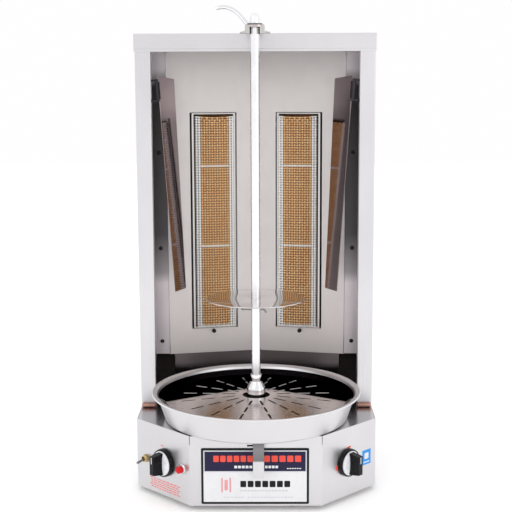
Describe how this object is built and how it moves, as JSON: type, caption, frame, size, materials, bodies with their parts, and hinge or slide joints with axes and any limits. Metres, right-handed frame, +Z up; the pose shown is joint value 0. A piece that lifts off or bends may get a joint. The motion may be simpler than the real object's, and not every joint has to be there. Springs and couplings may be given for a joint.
{
  "type": "vertical rotisserie broiler",
  "caption": "Countertop vertical rotisserie broiler with infrared gas burners, a turning skewer over a round slotted drip pan, swing-out reflector wings and a base with angled control panels.",
  "frame": {"origin": "on the floor plane directly under the skewer axis", "axes": "+Z up along the skewer, the front with the controls faces -Y, +X to the right seen from the front"},
  "size_m": [0.4606, 0.5214, 0.9177],
  "materials": {
    "brushed_steel": "brushed",
    "polished_steel": "polished",
    "chrome": "chrome plated",
    "zinc_steel": "zinc plated",
    "brass": "satin",
    "copper": "satin",
    "screen_wire": "woven wire",
    "cast_iron": "painted",
    "burner_ceramic": "matt",
    "porcelain": "glazed",
    "black_plastic": "gloss",
    "red_plastic": "gloss",
    "rubber": "matt",
    "printed_plate": "printed"
  },
  "bodies": {
    "frame": {"back_wall_left": "brushed_steel", "back_wall_right": "brushed_steel", "base_bottom_plate": "zinc_steel", "base_deck": "polished_steel", "base_front_panel": "brushed_steel", "base_housing": "brushed_steel", "bearing_housing": "cast_iron", "burner_housing_left": "zinc_steel", "burner_housing_right": "zinc_steel", "burner_screen_left": "screen_wire", "burner_screen_right": "screen_wire", "burner_tile_left_1": "burner_ceramic", "burner_tile_left_2": "burner_ceramic", "burner_tile_left_3": "burner_ceramic", "burner_tile_right_1": "burner_ceramic", "burner_tile_right_2": "burner_ceramic", "burner_tile_right_3": "burner_ceramic", "canopy": "brushed_steel", "cord_gland": "rubber", "foot_front_left": "rubber", "foot_front_right": "rubber", "foot_rear_left": "rubber", "foot_rear_right": "rubber", "foot_rod_left": "copper", "foot_rod_right": "copper", "gas_manifold": "zinc_steel", "gas_valve_left": "brass", "gas_valve_right": "brass", "gearbox": "cast_iron", "igniter_body": "chrome", "latch_bracket": "zinc_steel", "lower_back_panel": "polished_steel", "motor": "black_plastic", "nameplate": "printed_plate", "rear_cover": "brushed_steel", "side_post_left": "brushed_steel", "side_post_right": "brushed_steel", "side_strip_left": "brushed_steel", "side_strip_right": "brushed_steel", "spark_electrode_left": "porcelain", "spark_electrode_right": "porcelain", "supply_tube_left": "copper", "supply_tube_right": "copper", "toggle_switch_body": "brass"},
    "drive_line": {"main_shaft": "zinc_steel", "shaft_coupling": "zinc_steel", "drive_socket": "chrome"},
    "spit": {"skewer": "polished_steel"},
    "disc": {"meat_disc": "polished_steel"},
    "pin": {"disc_pin": "zinc_steel"},
    "pan": {"drip_pan": "brushed_steel", "drain_strip": "brushed_steel"},
    "cutting_plate": {"slotted_plate": "polished_steel"},
    "latch": {"latch_handle": "chrome"},
    "reflector_left": {"wing_left": "polished_steel"},
    "reflector_right": {"wing_right": "polished_steel"},
    "left_knob": {"knob_left": "black_plastic"},
    "right_knob": {"knob_right": "black_plastic"},
    "button": {"igniter_button": "red_plastic"},
    "toggle": {"toggle_lever": "chrome"}
  },
  "joints": [
    {"name": "spit_spin", "type": "hinge", "parent": "frame", "child": "drive_line", "pos_m": [0, 0, 0.18], "axis": [0, 0, 1], "continuous": true},
    {"name": "skewer_lift", "type": "slide", "parent": "drive_line", "child": "spit", "axis": [0, 0, 1], "range_m": [0, 0.025]},
    {"name": "disc_height", "type": "slide", "parent": "spit", "child": "disc", "axis": [0, 0, 1], "range_m": [0, 0.25]},
    {"name": "disc_pin_pull", "type": "slide", "parent": "spit", "child": "pin", "axis": [1, 0, 0], "range_m": [0, 0.045]},
    {"name": "pan_lift", "type": "slide", "parent": "frame", "child": "pan", "axis": [0, 0, 1], "range_m": [0, 0.03]},
    {"name": "plate_lift", "type": "slide", "parent": "pan", "child": "cutting_plate", "axis": [0, 0, 1], "range_m": [0, 0.02]},
    {"name": "latch_turn", "type": "hinge", "parent": "frame", "child": "latch", "pos_m": [0, 0, 0.8826], "axis": [0, 0, 1], "range_deg": [0, 180]},
    {"name": "wing_left_swing", "type": "hinge", "parent": "frame", "child": "reflector_left", "pos_m": [-0.1894, 0.074, 0.79], "axis": [-0.0663, 0, 0.9978], "range_deg": [-20, 20]},
    {"name": "wing_right_swing", "type": "hinge", "parent": "frame", "child": "reflector_right", "pos_m": [0.1894, 0.074, 0.79], "axis": [0.0663, 0, 0.9978], "range_deg": [-20, 20]},
    {"name": "knob_left_turn", "type": "hinge", "parent": "frame", "child": "left_knob", "pos_m": [-0.17109, -0.07458, 0.075], "axis": [-0.7142, -0.6999, 0], "range_deg": [0, 180]},
    {"name": "knob_right_turn", "type": "hinge", "parent": "frame", "child": "right_knob", "pos_m": [0.17109, -0.07458, 0.075], "axis": [0.7142, -0.6999, 0], "range_deg": [0, 180]},
    {"name": "igniter_press", "type": "slide", "parent": "frame", "child": "button", "axis": [0.7142, 0.6999, 0], "range_m": [0, 0.006], "stiffness_N_per_m": 300},
    {"name": "toggle_flip", "type": "hinge", "parent": "frame", "child": "toggle", "pos_m": [-0.21245, -0.03809, 0.07], "axis": [-0.6999, 0.7142, 0], "range_deg": [0, 28]}
  ]
}
